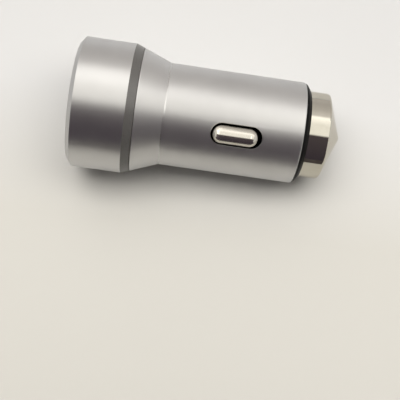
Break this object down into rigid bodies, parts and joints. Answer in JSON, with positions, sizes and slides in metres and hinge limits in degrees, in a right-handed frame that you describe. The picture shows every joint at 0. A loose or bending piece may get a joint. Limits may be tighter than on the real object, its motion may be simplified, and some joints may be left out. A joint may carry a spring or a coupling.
{
  "type": "car usb charger plug",
  "caption": "Metal car charging plug: wide chamfered head with USB ports in its face, dark trim ring, conical neck, barrel with sprung side contacts and a pointed centre tip.",
  "frame": {"origin": "centre of the front rim, on the surface that the plug stands on", "axes": "+Z along the plug from the front rim to the point; one side contact faces -Y and the other +Y"},
  "size_m": [0.0262, 0.0262, 0.054],
  "materials": {
    "satin_aluminium": "fine satin, turned",
    "polished_nickel": "polished nickel plate on steel",
    "dark_trim": "semi-gloss dark grey plastic",
    "black_plastic": "fine satin black plastic",
    "inner_plastic": "plain moulded plastic",
    "socket_steel": "bright tinned sheet",
    "tongue_plastic": "white plastic",
    "gold_plate": "gold flash",
    "board_laminate": "green solder mask",
    "ferrite": "dull ferrite",
    "copper_wire": "enamelled wire",
    "capacitor_can": "drawn can",
    "component_body": "moulded epoxy",
    "capacitor_block": "moulded epoxy",
    "tin_plate": "tinned",
    "spring_steel": "drawn wire"
  },
  "bodies": {
    "plug": {"head_sleeve": "satin_aluminium", "trim_ring": "dark_trim", "barrel_shell": "satin_aluminium", "face_plate": "black_plastic", "core_carrier": "inner_plastic", "circuit_board": "board_laminate", "usb_shell_front": "socket_steel", "usb_shell_rear": "socket_steel", "usb_tongue_front": "tongue_plastic", "usb_tongue_rear": "tongue_plastic", "usb_pins_front": "gold_plate", "usb_pins_rear": "gold_plate", "inductor_core": "ferrite", "inductor_winding": "copper_wire", "input_capacitor": "capacitor_can", "output_capacitor": "capacitor_block", "power_diode": "component_body", "switching_chip": "component_body", "component_legs": "tin_plate", "small_parts": "component_body", "ground_spring_front": "spring_steel", "ground_spring_rear": "spring_steel", "nose_collar": "black_plastic", "tip_spring": "spring_steel", "positive_terminal": "tin_plate"},
    "ground_front": {"ground_contact_front": "polished_nickel"},
    "ground_rear": {"ground_contact_rear": "polished_nickel"},
    "tip": {"nose_tip": "polished_nickel", "tip_clip": "spring_steel"}
  },
  "joints": [
    {"name": "ground_front_press", "type": "slide", "parent": "plug", "child": "ground_front", "axis": [0, 1, 0], "range_m": [0, 0.001], "stiffness_N_per_m": 1500, "springref_m": -0.001, "deforming": ["ground_spring_front"]},
    {"name": "ground_rear_press", "type": "slide", "parent": "plug", "child": "ground_rear", "axis": [0, -1, 0], "range_m": [0, 0.001], "stiffness_N_per_m": 1500, "springref_m": -0.001, "deforming": ["ground_spring_rear"]},
    {"name": "tip_press", "type": "slide", "parent": "plug", "child": "tip", "axis": [0, 0, -1], "range_m": [0, 0.002], "stiffness_N_per_m": 2000, "springref_m": -0.001, "deforming": ["tip_spring"]}
  ]
}
